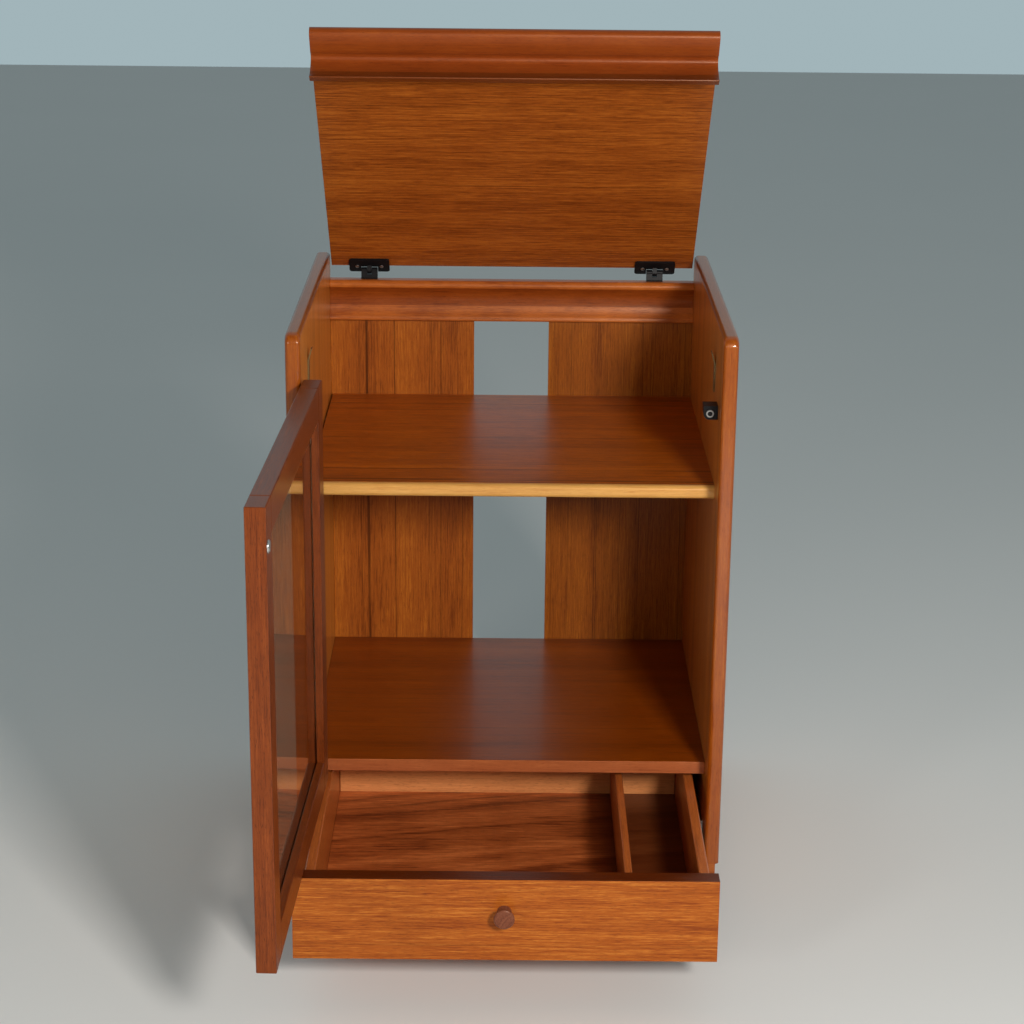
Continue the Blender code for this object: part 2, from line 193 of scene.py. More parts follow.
class Shader:
    """A small helper to wire a material's nodes."""

    def __init__(self, name):
        self.material = bpy.data.materials.new(name)
        self.material.use_nodes = True
        self.nodes = self.material.node_tree.nodes
        self.links = self.material.node_tree.links
        self.nodes.clear()
        self.out = self.nodes.new("ShaderNodeOutputMaterial")
        self.bsdf = self.nodes.new("ShaderNodeBsdfPrincipled")
        self.links.new(self.bsdf.outputs[0], self.out.inputs["Surface"])

    def put(self, socket, value):
        if isinstance(value, bpy.types.NodeSocket):
            self.links.new(value, socket)
        elif value is not None:
            socket.default_value = value

    def surface(self, **values):
        """Puts each value in the surface's socket of that name, with _ for a space."""
        for name, value in values.items():
            self.put(self.bsdf.inputs[name.replace("_", " ")], value)

    def math(self, operation, a, b=None, c=None):
        node = self.nodes.new("ShaderNodeMath")
        node.operation = operation
        for socket, value in zip(node.inputs, (a, b, c)):
            self.put(socket, value)
        return node.outputs[0]

    def vector(self, x, y, z):
        node = self.nodes.new("ShaderNodeCombineXYZ")
        for socket, value in zip(node.inputs, (x, y, z)):
            self.put(socket, value)
        return node.outputs[0]

    def noise(self, where, scale=1.0, detail=2.0, roughness=0.5, distortion=0.0, dimensions="3D"):
        node = self.nodes.new("ShaderNodeTexNoise")
        node.noise_dimensions = dimensions
        self.put(node.inputs["W" if dimensions == "1D" else "Vector"], where)
        self.put(node.inputs["Scale"], scale)
        self.put(node.inputs["Detail"], detail)
        self.put(node.inputs["Roughness"], roughness)
        self.put(node.inputs["Distortion"], distortion)
        return node.outputs[0]

    def ramp(self, value, low, high, to_low=0.0, to_high=1.0):
        node = self.nodes.new("ShaderNodeMapRange")
        node.interpolation_type = "SMOOTHSTEP"
        for socket, number in zip(node.inputs, (value, low, high, to_low, to_high)):
            self.put(socket, number)
        return node.outputs[0]

    def mix(self, amount, a, b):
        node = self.nodes.new("ShaderNodeMix")
        node.data_type = "RGBA"
        self.put(node.inputs[0], amount)
        self.put(node.inputs[MIX_A], (*a, 1.0) if isinstance(a, tuple) else a)
        self.put(node.inputs[MIX_B], (*b, 1.0) if isinstance(b, tuple) else b)
        return node.outputs[MIX_RESULT]

    def place(self):
        """The place on the piece, as one vector and as its three values."""
        node = self.nodes.new("ShaderNodeTexCoord")
        split = self.nodes.new("ShaderNodeSeparateXYZ")
        self.links.new(node.outputs["Object"], split.inputs[0])
        return node.outputs["Object"], split.outputs

    def bump(self, height, distance, strength):
        node = self.nodes.new("ShaderNodeBump")
        self.put(node.inputs["Strength"], strength)
        self.put(node.inputs["Distance"], distance)
        self.put(node.inputs["Height"], height)
        return node.outputs[0]


ACROSS = {"X": (1, 2), "Y": (0, 2), "Z": (0, 1)}
WOOD_ROUGHNESS = 0.36
WOOD_GLOSS = 0.35
WARM_GLOSS = (1.0, 0.62, 0.40, 1.0)


def wood(
    name,
    grain,
    light,
    middle,
    dark,
    heart=(0.0, 0.0),
    shift=0.0,
    fine=1.0,
    broad=0.5,
    ring=0.016,
    line=0.5,
    line_gap=0.012,
    wander=0.006,
    taper=0.0,
    mottle=0.2,
    pores=0.4,
    coat=0.12,
    gloss=0.15,
    dark_from=None,
):
    """Lacquered wood with fibres along the axis grain.

    heart is the tree's middle across the fibres, in metres. The distance from it, swayed by wander
    and leaning by taper, sets the year rings (ring, broad) and the dark veins (line, line_gap).
    fine, mottle and pores are the strengths of the fibres, the clouds and the open pores. Past
    dark_from, in metres along the fibres, the colour turns much darker.
    """
    s = Shader(name)
    _, axes = s.place()
    length = axes["XYZ".index(grain)]
    u = s.math("ADD", length, shift)
    v, w = (axes[i] for i in ACROSS[grain])

    def field(along, across, detail, roughness=0.5):
        """Noise drawn out along the fibres, with features per metre along and across them."""
        stretch = ((u, along), (v, across), (w, across))
        at = s.vector(*(s.math("MULTIPLY", value, by) for value, by in stretch))
        return s.noise(at, 1.0, detail, roughness)

    sway = s.math("MULTIPLY_ADD", field(2.2, 9.0, 2.5, 0.45), wander * 2, -wander)
    dv = s.math("SUBTRACT", v, heart[0])
    dw = s.math("SUBTRACT", w, heart[1])
    squares = s.math("ADD", s.math("MULTIPLY", dv, dv), s.math("MULTIPLY", dw, dw))
    depth = s.math("ADD", s.math("SQRT", squares), sway)
    depth = s.math("MULTIPLY_ADD", u, taper, depth)
    seasons = s.noise(depth, 1.0 / ring, 2.0, 0.5, dimensions="1D")
    veins = s.noise(depth, 1.0 / line_gap, 4.0, 0.75, dimensions="1D")
    fibre = field(15.0, 560.0, 4.0, 0.66)
    dash = field(60.0, 1150.0, 2.0, 0.6)
    pore = s.ramp(field(150.0, 1700.0, 1.0), 0.58, 0.72)
    cloud = field(14.0, 24.0, 3.0, 0.6)
    broken = s.ramp(field(6.0, 70.0, 3.0), 0.28, 0.52)

    tone = 0.5
    for part, strength in (
        (fibre, 1.5 * fine),
        (dash, 0.9 * fine),
        (seasons, 1.6 * broad),
        (cloud, 1.6 * mottle),
    ):
        tone = s.math("MULTIPLY_ADD", s.math("SUBTRACT", part, 0.5), strength, tone)
    low = s.mix(s.ramp(tone, 0.12, 0.50), dark, middle)
    base = s.mix(s.ramp(tone, 0.50, 0.90), low, light)
    veined = s.math("MULTIPLY", s.ramp(veins, 0.61, 0.68), broken)
    base = s.mix(s.math("MULTIPLY", veined, line), base, darker(dark, 0.30))
    base = s.mix(s.math("MULTIPLY", pore, pores), base, darker(dark, 0.40))
    if dark_from is not None:
        past = s.ramp(length, dark_from, dark_from + 0.03, 0.0, 0.8)
        base = s.mix(past, base, darker(dark, 0.35))
    rough = s.math("MULTIPLY_ADD", fibre, 0.16, WOOD_ROUGHNESS - 0.08)
    relief = s.math("MULTIPLY_ADD", pore, -1.0, s.math("MULTIPLY", fibre, 0.6))
    s.surface(
        Base_Color=base,
        Roughness=rough,
        Normal=s.bump(relief, 0.00010, 0.5),
        Coat_Weight=coat,
        Coat_Roughness=gloss,
    )
    s.surface(Specular_IOR_Level=WOOD_GLOSS, Specular_Tint=WARM_GLOSS)
    return s.material


def metal(name, colour, roughness, spots=0.3):
    s = Shader(name)
    where, _ = s.place()
    grime = s.noise(where, 260.0, 4.0, 0.6)
    fine = s.noise(where, 1900.0, 2.0, 0.5)
    base = s.mix(s.ramp(grime, 0.45, 0.75, 0.0, spots), colour, darker(colour, 0.45))
    rough = s.math("MULTIPLY_ADD", grime, 0.25, roughness - 0.1)
    relief = s.bump(fine, 0.00004, 0.4)
    s.surface(Base_Color=base, Metallic=1.0, Roughness=rough, Normal=relief)
    return s.material


def plastic(name, colour, roughness):
    s = Shader(name)
    where, _ = s.place()
    fine = s.noise(where, 1400.0, 3.0, 0.55)
    dust = s.noise(where, 120.0, 4.0, 0.7)
    dusty = tuple(c * 2.0 + 0.004 for c in colour)
    base = s.mix(s.ramp(dust, 0.55, 0.80, 0.0, 0.35), colour, dusty)
    rough = s.math("MULTIPLY_ADD", dust, 0.18, roughness - 0.09)
    s.surface(Base_Color=base, Roughness=rough, Normal=s.bump(fine, 0.00005, 0.5))
    s.surface(Specular_IOR_Level=0.15)
    return s.material


def glass(name):
    s = Shader(name)
    where, _ = s.place()
    smear = s.noise(where, 9.0, 3.0, 0.6, 0.6)
    s.surface(
        Base_Color=(0.72, 0.56, 0.40, 1.0),
        Roughness=s.ramp(smear, 0.45, 0.75, 0.0, 0.035),
        IOR=1.52,
        Transmission_Weight=1.0,
    )
    return s.material


# The coat of lacquer and how rough it is.
THIN_LACQUER = {"coat": 0.08, "gloss": 0.2}
SATIN_LACQUER = {"coat": 0.14, "gloss": 0.2}
LACQUER = {"coat": 0.3, "gloss": 0.15}
NOSING_GRAIN = {
    "heart": (-0.3, 1.2), "ring": 0.03, "fine": 0.6, "line": 0.1, "shift": 7.7, "mottle": 0.5,
    "broad": 0.2, **SATIN_LACQUER,
}
RAIL_GRAIN = {
    "heart": (0.2, 1.4), "ring": 0.03, "fine": 0.6, "line": 0.1, "shift": 11.3, "mottle": 0.7,
    "broad": 0.2, **SATIN_LACQUER,
}
DOOR_GRAIN = {
    "light": (0.227, 0.048, 0.0077), "middle": (0.157, 0.030, 0.0043),
    "dark": (0.088, 0.014, 0.0021), "fine": 0.9, "broad": 0.3, "line": 0.2, "pores": 0.7,
    "mottle": 0.3, **SATIN_LACQUER,
}

LID_VENEER = wood(
    "lid_veneer", "X", (0.391, 0.108, 0.013), (0.280, 0.066, 0.0078), (0.162, 0.035, 0.0046),
    heart=(1.3, 0.3), wander=0.006, shift=3.1, line_gap=0.006, line=0.55, broad=0.35, fine=1.5,
    ring=0.04, **THIN_LACQUER,
)
NOSING_WOOD = wood(
    "nosing_wood", "X", (0.299, 0.066, 0.0087), (0.236, 0.045, 0.0063), (0.157, 0.026, 0.0041),
    **NOSING_GRAIN,
)
# A darker copy of the nosing wood for the moulding's lower band: painted shade on the fascia's
# foot.
NOSING_PAINTED_SHADE = wood(
    "nosing_painted_shade", "X", (0.185, 0.0446, 0.0062), (0.146, 0.0304, 0.00446), (0.0969, 0.018, 0.00291),
    **NOSING_GRAIN,
)
RAIL_WOOD = wood(
    "rail_wood", "X", (0.537, 0.154, 0.023), (0.404, 0.102, 0.015), (0.246, 0.053, 0.010),
    **RAIL_GRAIN,
)
# A darker copy of the rail wood for the moulding's hollow: painted shade where the hollow faces
# down.
RAIL_PAINTED_SHADE = wood(
    "rail_painted_shade", "X", (0.313, 0.0717, 0.009), (0.235, 0.0471, 0.00585), (0.143, 0.0246, 0.00414),
    **RAIL_GRAIN,
)
BACK_VENEER_L = wood(
    "back_veneer_left", "Z", (0.446, 0.131, 0.014), (0.326, 0.083, 0.010), (0.189, 0.043, 0.0060),
    heart=(-0.9, 0.3), wander=0.003, shift=1.9, line_gap=0.009, line=0.8, ring=0.05, broad=0.35,
    **THIN_LACQUER,
)
BACK_VENEER_R = wood(
    "back_veneer_right", "Z", (0.361, 0.111, 0.010), (0.256, 0.068, 0.0068), (0.151, 0.034, 0.0039),
    heart=(0.9, 0.35), wander=0.004, shift=5.4, line_gap=0.008, line=0.6, ring=0.035, broad=0.5,
    **THIN_LACQUER,
)
SIDE_VENEER = wood(
    "side_veneer", "Z", (0.691, 0.26, 0.0356), (0.54, 0.183, 0.027), (0.362, 0.111, 0.0151),
    heart=(0.2, -0.9), ring=0.035, fine=0.7, line=0.3, wander=0.004, shift=2.3, gloss=0.1, coat=0.3,
)
EDGE_WOOD_Z = wood(
    "edge_wood_upright", "Z", (0.355, 0.0941, 0.006), (0.272, 0.0572, 0.00353),
    (0.178, 0.0301, 0.00232), heart=(0.4, -0.6), ring=0.03, fine=0.8, line=0.1, shift=4.0,
    mottle=0.5, broad=0.2, coat=0.8, gloss=0.06,
)
EDGE_WOOD_Y = wood(
    "edge_wood_top", "Y", (0.40, 0.13, 0.026), (0.30, 0.085, 0.018), (0.20, 0.048, 0.012),
    heart=(0.4, 1.6), ring=0.03, fine=0.7, line=0.1, shift=4.0, broad=0.2, **LACQUER,
)
SHELF_VENEER = wood(
    "shelf_veneer", "X", (0.499, 0.122, 0.0032), (0.361, 0.079, 0.0022), (0.209, 0.043, 0.0013),
    heart=(1.2, 0.3), ring=0.045, wander=0.006, shift=9.2, gloss=0.12, coat=0.06, line_gap=0.016,
    line=0.9, fine=1.5, broad=0.45,
)
LOWER_VENEER = wood(
    "lower_veneer", "X", (0.328, 0.068, 0.0014), (0.246, 0.046, 0.0010), (0.155, 0.028, 0.0007),
    heart=(1.1, 0.2), ring=0.045, fine=1.1, line=0.3, wander=0.006, shift=6.2, gloss=0.12,
    coat=0.14,
)
LOWER_EDGE = wood(
    "lower_edge_wood", "X", (0.472, 0.145, 0.047), (0.358, 0.095, 0.030), (0.245, 0.056, 0.018),
    heart=(0.8, 0.9), fine=0.7, broad=0.2, line=0.1, wander=0.003, shift=1.2, **SATIN_LACQUER,
)
BASE_WOOD = wood(
    "base_wood", "X", (0.42, 0.125, 0.026), (0.32, 0.085, 0.018), (0.20, 0.048, 0.012),
    heart=(0.8, 0.9), fine=0.8, broad=0.3, line=0.2, shift=1.0, **SATIN_LACQUER,
)
MAPLE = wood(
    "maple_lipping", "X", (0.741, 0.424, 0.126), (0.628, 0.318, 0.081), (0.483, 0.196, 0.041),
    heart=(0.5, 0.9), fine=0.7, broad=0.2, line=0.05, wander=0.003, shift=2.0, pores=0.15,
    **LACQUER,
)
DOOR_WOOD_Z = wood("door_wood_upright", "Z", heart=(0.3, -0.7), shift=8.0, **DOOR_GRAIN)
DOOR_WOOD_X = wood("door_wood_across", "X", heart=(-0.7, 0.5), shift=8.8, **DOOR_GRAIN)
FRONT_VENEER = wood(
    "drawer_front_veneer", "X", (0.492, 0.155, 0.022), (0.342, 0.083, 0.0091),
    (0.219, 0.042, 0.0055), heart=(0.4, 1.5), fine=1.2, broad=0.25, line=0.2, wander=0.002,
    shift=3.3, mottle=0.15, **THIN_LACQUER,
)
# A far darker copy of the drawer front's wood for its top and bottom edges: painted shade where
# those faces get little light.
FRONT_EDGE_PAINTED_SHADE = wood(
    "drawer_front_edge_painted_shade", "X", (0.140, 0.021, 0.0002), (0.091, 0.013, 0.0002),
    (0.056, 0.0078, 0.0001), heart=(0.9, 0.4), line=0.1, shift=6.6, coat=0.3, gloss=0.2,
)
INSIDE_WOOD_Y = wood(
    "drawer_side_wood", "Y", (0.604, 0.163, 0.0336), (0.446, 0.109, 0.0204),
    (0.289, 0.0605, 0.0144), heart=(0.3, 0.9), fine=0.8, broad=0.3, line=0.2, shift=5.0,
    **SATIN_LACQUER,
)
INSIDE_WOOD_X = wood(
    "drawer_back_wood", "X", (0.795, 0.329, 0.115), (0.625, 0.239, 0.078), (0.425, 0.135, 0.046),
    heart=(0.3, 0.9), fine=0.5, broad=0.3, line=0.1, shift=5.5, **SATIN_LACQUER,
)
FLOOR_VENEER = wood(
    "drawer_floor_veneer", "X", (0.656, 0.181, 0.046), (0.410, 0.094, 0.021),
    (0.165, 0.032, 0.0080), heart=(0.15, 0.02), ring=0.030, line=0.35, line_gap=0.014, wander=0.022,
    taper=-0.22, shift=0.4, broad=0.85, mottle=0.4, dark_from=0.105, **THIN_LACQUER,
)
KNOB_WOOD = wood(
    "knob_wood", "Y", (0.209, 0.069, 0.035), (0.157, 0.047, 0.024), (0.094, 0.024, 0.013),
    heart=(0.02, 0.10), ring=0.004, fine=0.8, broad=0.6, line=0.2, shift=0.4,
)
STEEL = metal("zinc_steel", (0.62, 0.62, 0.60), 0.32)
DIM_STEEL = metal("worn_steel", (0.36, 0.36, 0.35), 0.36)
BRASS = metal("dull_brass", (0.30, 0.23, 0.11), 0.42, spots=0.5)
BLACK = plastic("black_fitting", (0.006, 0.006, 0.007), 0.36)
GLASS = glass("clear_glass")


def facing(axis):
    """Picks material 1 for faces that look along the axis, and 0 for the rest."""
    index = "XYZ".index(axis)
    return lambda centre, normal: 1 if abs(normal[index]) > 0.8 else 0


def swap(bm, node, name, materials, pick=None, bevel=0.0, segments=2, sharp=35):
    """Finishes a piece and puts it in place of the CAD node."""
    body = node_body(node)
    piece = finish_mesh(bm, name, body, materials, pick, bevel, segments, sharp)
    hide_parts(node)


# ---------------------------------------------------------------- cabinet

SIDE_ROUND = 5.0  # on both long edges of a side's front and top
ROUND_STEPS = 9
CORNER = 13.0  # the side's front top corner, seen from the side
BACK_CHAMFER = 3.0
EDGE_BAND = 9.0  # how deep the top's solid edge is
INNER = 242.5  # from the middle to a side's inner face
CLEAR = 0.04


def side_panels():
    turns = [math.pi / 2 * i / ROUND_STEPS for i in range(ROUND_STEPS + 1)]
    insets = [(SIDE_ROUND * (1 - math.cos(a)), SIDE_ROUND * (1 - math.sin(a))) for a in turns]
    for node, sign in (("side_panel_left", -1), ("side_panel_right", 1)):
        (x0, x1), (y0, y1), (z0, z1) = shut_box(node)
        inner, outer = (x0, x1) if sign > 0 else (x1, x0)
        stations = [(inner + sign * dx, inset) for dx, inset in insets]
        stations += [(outer - sign * dx, inset) for dx, inset in reversed(insets)]
        rings = []
        for x, inset in stations:
            outline = [
                (y0 + inset, z0),
                *arc((y0 + CORNER, z1 - CORNER), CORNER - inset, 180, 90, 10),
                (y1 - BACK_CHAMFER, z1 - inset),
                (y1, z1 - inset - BACK_CHAMFER),
                (y1, z0),
            ]
            rings.append(placed(outline, x, "X"))

        def pick(centre, normal, y0=y0, z1=z1):
            if abs(normal.x) > 0.97:
                return 0
            return 2 if centre.z > z1 - EDGE_BAND and centre.y > y0 + EDGE_BAND else 1

        materials = [SIDE_VENEER, EDGE_WOOD_Z, EDGE_WOOD_Y]
        name = node.replace("panel", "board")
        swap(lofted(rings), node, name, materials, pick, sharp=40)


def between_sides(x):
    """Draws a board's ends out to the sides that they meet."""
    reach = INNER - CLEAR
    return [math.copysign(reach, end) if INNER - 0.6 < abs(end) < INNER else end for end in x]


def boards():
    for node, name, materials, bevel in (
        ("bottom_board", "base_board", [BASE_WOOD], 1.0),
        ("lower_board", "drawer_top_board", [LOWER_VENEER, LOWER_EDGE], 0.8),
        ("middle_shelf", "shelf_board", [SHELF_VENEER], 0.3),
        ("plinth_front", "plinth_rail_front", [BASE_WOOD], 0.8),
        ("plinth_back", "plinth_rail_back", [BASE_WOOD], 0.8),
        ("plinth_left", "plinth_rail_left", [BASE_WOOD], 0.8),
        ("plinth_right", "plinth_rail_right", [BASE_WOOD], 0.8),
        ("back_panel_left", "back_board_left", [BACK_VENEER_L], 0.4),
        ("back_panel_right", "back_board_right", [BACK_VENEER_R], 0.4),
    ):
        pick = facing("Y") if len(materials) > 1 else None
        x, y, z = shut_box(node)
        swap(block(between_sides(x), y, z), node, name, materials, pick, bevel)


LIPPING_ROUND = 5.5


def shelf_lipping():
    x, (y0, y1), (z0, z1) = shut_box("shelf_lipping")
    r = LIPPING_ROUND
    outline = [
        (y1, z0),
        (y1, z1),
        *arc((y0 + r, z1 - r), r, 90, 180, 8),
        *arc((y0 + r, z0 + r), r, 180, 270, 8),
    ]
    bm = prism(outline, *between_sides(x), "X")
    swap(bm, "shelf_lipping", "shelf_front_lipping", [MAPLE], bevel=0.25)


# The back rail's front, as depths in the CAD and heights under the rail's top.
RAIL_NOSE, RAIL_NOSE_ROUND = 452.0, 6.5
RAIL_LIP, RAIL_LIP_ROUND = 448.2, 2.1
RAIL_LINE = (
    (446.7, -10.2),
    (449.6, -14.4),
    (452.0, -19.4),
    (452.9, -26.4),
    (452.2, -34.4),
    (449.9, -42.4),
    (446.8, -48.9),
)
# Heights under the rail's top of the band that takes the darker wood: painted shade in the hollow.
RAIL_SHADE = (-34.0, -9.0)


def back_rail():
    x, (_, y1), (z0, z1) = shut_box("back_rail")
    nose = RAIL_NOSE - SHIFT
    outline = [
        (y1, z0),
        (y1, z1),
        (nose, z1),
        *arc((nose, z1 - RAIL_NOSE_ROUND), RAIL_NOSE_ROUND, 100, 215, 12),
        *curve([(y, z1 + z) for y, z in RAIL_LINE])[1:],
        *arc((RAIL_LIP - SHIFT, z0 + RAIL_LIP_ROUND), RAIL_LIP_ROUND, 160, 270, 5),
    ]

    # Faces in that band take the darker copy of the wood: painted shade.
    def in_painted_shade(centre, normal):
        return 1 if RAIL_SHADE[0] < centre.z - z1 < RAIL_SHADE[1] else 0

    bm = prism(outline, *between_sides(x), "X")
    materials = [RAIL_WOOD, RAIL_PAINTED_SHADE]
    swap(bm, "back_rail", "back_moulded_rail", materials, in_painted_shade, 0.4, sharp=50)


# ---------------------------------------------------------------- lid

# The moulding's hollow, as depths in the CAD and heights over the lid panel's underside.
MOULDING_LINE = (
    (32.0, -2.6),
    (35.5, -1.5),
    (39.0, -1.2),
    (42.0, -2.4),
    (44.0, -6.0),
    (44.2, -12.0),
    (43.0, -20.0),
    (40.6, -28.5),
    (37.1, -34.8),
)
MOULDING_TOE = 38.0
# How high the darker band at the moulding's foot reaches: painted shade.
PAINTED_SHADE_BAND = 14.0


def lid():
    swap(block(*shut_box("lid_panel")), "lid_panel", "lid_board", [LID_VENEER], bevel=0.6)
    x, (y0, y1), (z0, z1) = shut_box("lid_nosing")
    under = shut_box("lid_panel")[2][0]
    radius = (z1 - under) / 2
    outline = [
        (y1, z1),
        *arc((y0 + radius, under + radius), radius, 90, 240, 16),
        *curve([(y, under + z) for y, z in MOULDING_LINE], 3),
        (MOULDING_TOE - SHIFT, z0),
        (y1 - 1.0, z0 + 2.4),
        (y1, z0 + 3.4),
    ]

    # Faces low on the moulding take the darker copy of the wood: painted shade.
    def in_painted_shade_band(centre, normal):
        return 1 if centre.z < z0 + PAINTED_SHADE_BAND else 0

    bm = prism(outline, *x, "X")
    materials = [NOSING_WOOD, NOSING_PAINTED_SHADE]
    swap(bm, "lid_nosing", "lid_moulding", materials, in_painted_shade_band, 0.35, sharp=28)


# ---------------------------------------------------------------- door

FRAME_WIDTH = 38.0
GROOVE = 8.0  # how deep the glass sits in the frame
GROOVE_FROM_BACK = (14.3, 9.7)


def member(outer, inner, deep, low, high):
    """A door frame member's section with its glass groove, as (across, depth) points."""
    near, far = (high - back for back in GROOVE_FROM_BACK)
    return [
        (outer, low),
        (inner, low),
        (inner, near),
        (deep, near),
        (deep, far),
        (inner, far),
        (inner, high),
        (outer, high),
    ]


def stile(x, depth, z, sign):
    """An upright with its groove stopped short of both ends."""
    outer, inner = (x[0], x[1]) if sign < 0 else (x[1], x[0])
    start, end = z[0] + FRAME_WIDTH - GROOVE, z[1] - FRAME_WIDTH + GROOVE
    levels = ((z[0], 0), (start, 0), (start, GROOVE), (end, GROOVE), (end, 0), (z[1], 0))
    rings = []
    for level, deep in levels:
        rings.append(placed(member(outer, inner, inner + sign * deep, *depth), level, "Z"))
    bm = lofted(rings)
    bmesh.ops.remove_doubles(bm, verts=bm.verts[:], dist=1e-6)
    return bm


def rail(x, depth, z, sign):
    """A crosspiece with its groove from end to end."""
    outer, inner = (z[1], z[0]) if sign > 0 else (z[0], z[1])
    section = member(outer, inner, inner + sign * GROOVE, *depth)
    return prism([(depth_at, height) for height, depth_at in section], *x, "X")


def door():
    for node, shape, sign, wood_used in (
        ("door_stile_hinge", stile, -1, DOOR_WOOD_Z),
        ("door_stile_free", stile, 1, DOOR_WOOD_Z),
        ("door_rail_bottom", rail, -1, DOOR_WOOD_X),
        ("door_rail_top", rail, 1, DOOR_WOOD_X),
    ):
        name = node.replace("door_", "door_frame_")
        bm = shape(*shut_box(node), sign)
        swap(bm, node, name, [wood_used], bevel=1.2, segments=3)
    pane = block(*shut_box("door_glass"))
    swap(pane, "door_glass", "door_pane", [GLASS], bevel=0.3)


# ---------------------------------------------------------------- drawer

# The knob's profile, as distances from the drawer front and radii, up to its face.
KNOB_NECK = ((0.0, 8.4), (3.0, 7.5), (6.0, 7.4), (9.5, 8.2), (12.5, 9.8), (15.0, 11.1))
KNOB_HEAD = ((16.6, -0.05), (17.6, 0.0), (18.3, -0.5), (18.8, -1.4))  # radii less the widest
KNOB_FACE_INSET = 2.6


def drawer():
    for node, name, materials, bevel in (
        ("drawer_front", "drawer_face", [FRONT_VENEER, FRONT_EDGE_PAINTED_SHADE], 0.6),
        ("drawer_side_left", "drawer_wall_left", [INSIDE_WOOD_Y], 2.0),
        ("drawer_side_right", "drawer_wall_right", [INSIDE_WOOD_Y], 2.0),
        ("drawer_back", "drawer_wall_back", [INSIDE_WOOD_X], 1.5),
        ("drawer_divider", "drawer_partition", [INSIDE_WOOD_Y], 2.0),
        ("drawer_bottom", "drawer_floor_board", [FLOOR_VENEER], 0.2),
    ):
        # On the drawer front, faces looking up or down take the darker edge wood: painted shade.
        pick = facing("Z") if len(materials) > 1 else None
        swap(block(*shut_box(node)), node, name, materials, pick, bevel, 3)
    x, (y0, y1), z = shut_box("drawer_knob")
    widest = (x[1] - x[0]) / 2
    head = [(out, widest + less) for out, less in KNOB_HEAD]
    shape = [*KNOB_NECK, *head, (y1 - y0, widest - KNOB_FACE_INSET)]
    profile = [(y1 - out, radius) for out, radius in shape]
    bm = turned(profile, "Y", (sum(x) / 2, sum(z) / 2))
    swap(bm, "drawer_knob", "drawer_pull", [KNOB_WOOD], sharp=60)


# ---------------------------------------------------------------- metal pieces

POINT = 0.05  # the radius that closes a turned profile


def screws():
    for side in ("left", "right"):
        for index in (1, 2):
            node = f"lid_hinge_screw_{side}_{index}"
            x, y, (z0, z1) = shut_box(node)
            recess = z0 + 0.5
            shape = (
                (z1, 2.8),
                (z0 + 0.35, 2.6),
                (z0, 1.9),
                (z0, 1.15),
                (recess, 1.0),
                (recess, POINT),
            )
            bm = turned(shape, "Z", (sum(x) / 2, sum(y) / 2), 24)
            name = node.replace("screw", "screw_head")
            swap(bm, node, name, [DIM_STEEL], sharp=30)


def magnet():
    """The catch's magnet: a bright ring round a dark middle."""
    x, (y0, y1), z = shut_box("catch_magnet")
    centre = (sum(x) / 2, sum(z) / 2)
    rim = (x[1] - x[0]) / 2
    recess = y0 + 0.7
    shape = (
        (y1, rim),
        (y0 + 0.3, rim),
        (y0, rim - 0.4),
        (y0, rim * 0.62),
        (recess, rim * 0.56),
        (recess, POINT),
    )

    def pick(at, normal):
        return 1 if math.hypot(at.x - centre[0], at.z - centre[1]) < rim * 0.6 else 0

    bm = turned(shape, "Y", centre, 32)
    materials = [DIM_STEEL, BLACK]
    swap(bm, "catch_magnet", "catch_magnet_ring", materials, pick, sharp=30)


SOFTENED = ("lid_hinge_base", "lid_hinge_plate", "catch_housing")


def plain_nodes():
    """CAD nodes whose shape is right keep it and get a detailed finish."""
    finishes = (
        (BLACK, ("lid_hinge_base", "lid_hinge_plate", "lid_hinge_pin", "catch_housing", "glide")),
        (STEEL, ("door_strike", "runner", "drawer_slide", "shelf_support")),
        (BRASS, ("door_hinge", "slot_bracket")),
    )
    for material, starts in finishes:
        for name, obj in frame["nodes"].items():
            if not name.startswith(starts):
                continue
            obj.data.materials.clear()
            obj.data.materials.append(material)
            if name.startswith(SOFTENED):
                step = obj.modifiers.new("soft_edges", "BEVEL")
                step.width = 0.35 * MM
                step.segments = 2
                step.limit_method = "ANGLE"
                step.angle_limit = math.radians(40)


# ---------------------------------------------------------------- stage, light, camera


def flat(name, colour):
    s = Shader(name)
    where, _ = s.place()
    tone = s.ramp(s.noise(where, 1.3, 3.0), 0.3, 0.7, 0.0, 0.15)
    s.surface(Base_Color=s.mix(tone, colour, darker(colour, 0.93)), Roughness=0.8)
    return s.material


FLOOR_SIZE = 16.0
FLOOR_COLOUR = (0.78, 0.77, 0.75)
DIM_ROOM = (0.060, 0.058, 0.055, 1.0)
PALE_WALL = (0.36, 0.46, 0.49, 1.0)
MIDDLE = (0.0, 0.0, 0.45)  # what every light points at
WARM = (1.0, 0.96, 0.91)


def stage():
    bpy.ops.mesh.primitive_plane_add(size=FLOOR_SIZE, location=(0.0, 0.0, 0.0))
    floor = bpy.context.object
    floor.name = "studio_floor"
    floor.data.materials.append(flat("pale_floor", FLOOR_COLOUR))


def softbox(name, place, width, height, power):
    data = bpy.data.lights.new(name, "AREA")
    data.shape = "RECTANGLE"
    data.size, data.size_y = width, height
    data.energy = power
    data.color = WARM
    obj = bpy.data.objects.new(name, data)
    bpy.context.scene.collection.objects.link(obj)
    obj.location = place
    obj.rotation_euler = (Vector(MIDDLE) - Vector(place)).to_track_quat("-Z", "Y").to_euler()
    return obj


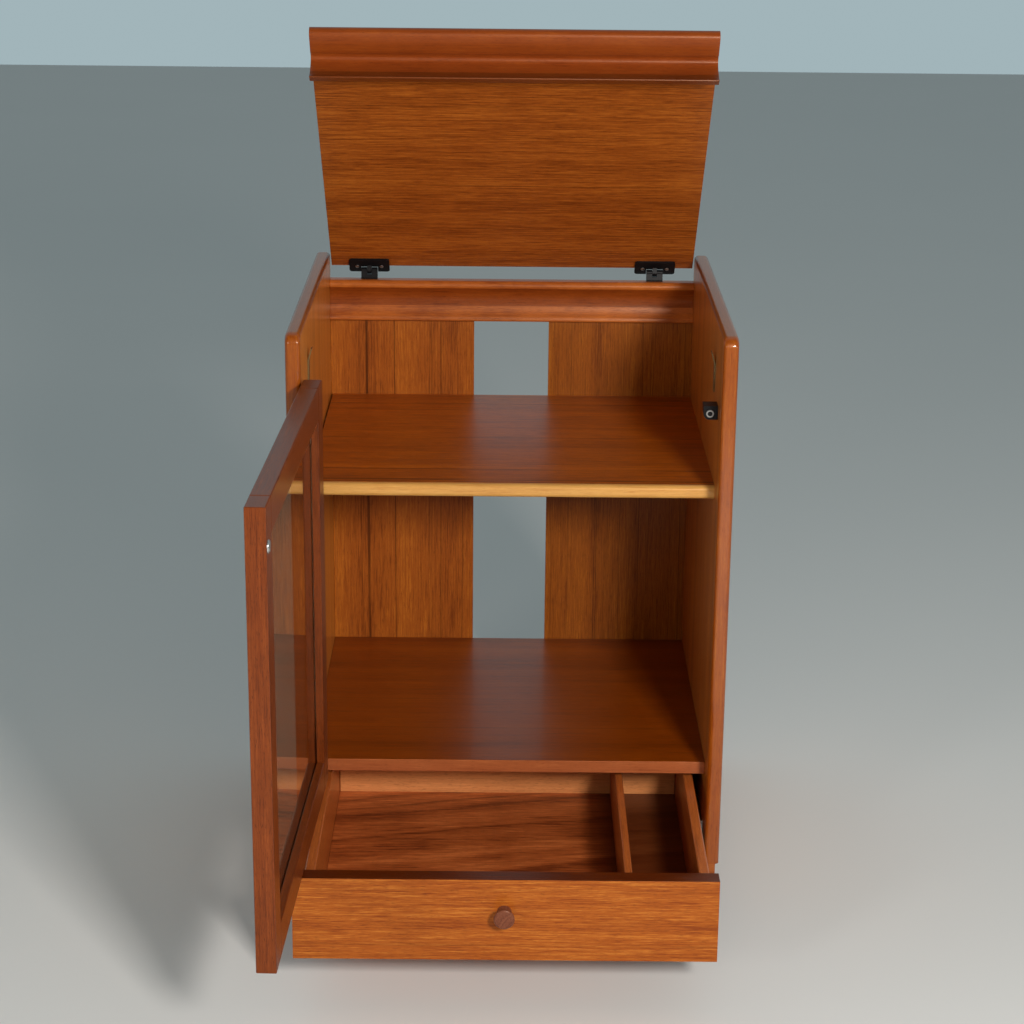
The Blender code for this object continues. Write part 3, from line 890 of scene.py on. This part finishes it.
def backdrop(world):
    """A pale wall's light from behind the object, and a dim room in front of it."""
    nodes, links = world.node_tree.nodes, world.node_tree.links
    direction = nodes.new("ShaderNodeTexCoord")
    split = nodes.new("ShaderNodeSeparateXYZ")
    fade = nodes.new("ShaderNodeMapRange")
    colour = nodes.new("ShaderNodeMix")
    colour.data_type = "RGBA"
    fade.interpolation_type = "SMOOTHSTEP"
    fade.inputs["From Min"].default_value = -0.25
    fade.inputs["From Max"].default_value = 0.35
    colour.inputs[MIX_A].default_value = DIM_ROOM
    colour.inputs[MIX_B].default_value = PALE_WALL
    links.new(direction.outputs["Generated"], split.inputs[0])
    links.new(split.outputs["Y"], fade.inputs["Value"])
    links.new(fade.outputs[0], colour.inputs[0])
    links.new(colour.outputs[MIX_RESULT], nodes["Background"].inputs["Color"])
    nodes["Background"].inputs["Strength"].default_value = 1.0


def lights():
    world = bpy.data.worlds.new("studio")
    bpy.context.scene.world = world
    world.use_nodes = True
    backdrop(world)
    softbox("key", (0.80, -2.4, 1.5), 0.36, 0.36, 58.0)
    softbox("side_key", (2.3, -2.6, 1.0), 0.6, 0.6, 12.0)
    softbox("side_fill", (-1.7, -2.5, 1.1), 0.5, 0.5, 13.0)
    fill = softbox("front_fill", (-0.2, -4.2, 2.2), 2.6, 1.6, 22.0)
    fill.visible_glossy = False


LENS = 2340.0 / 1024.0  # the focal length, counted in frame widths
SENSOR = 36.0
EYE = (-0.00535, -2.60506, 1.3571)
YAW, PITCH, ROLL = 0.16, -18.0, 0.58  # degrees


def camera():
    data = bpy.data.cameras.new("camera")
    data.sensor_width = SENSOR
    data.lens = SENSOR * LENS
    data.clip_start = 0.05
    data.clip_end = 60.0
    obj = bpy.data.objects.new("camera", data)
    bpy.context.scene.collection.objects.link(obj)
    yaw, pitch, roll = (math.radians(v) for v in (YAW, PITCH, ROLL))
    level = Vector((math.sin(yaw), math.cos(yaw), 0.0))
    ahead = level * math.cos(pitch) + Vector((0.0, 0.0, math.sin(pitch)))
    right = Vector((math.cos(yaw), -math.sin(yaw), 0.0))
    up = right.cross(ahead)
    turned_right = right * math.cos(roll) + up * math.sin(roll)
    turned_up = up * math.cos(roll) - right * math.sin(roll)
    axes = Matrix((turned_right, turned_up, -ahead)).transposed().to_4x4()
    obj.matrix_world = Matrix.Translation(EYE) @ axes
    bpy.context.scene.camera = obj
    bpy.context.scene.view_settings.view_transform = "Standard"
    bpy.context.scene.view_settings.look = "None"


camera()
lights()
stage()
side_panels()
boards()
shelf_lipping()
back_rail()
lid()
door()
drawer()
screws()
magnet()
plain_nodes()
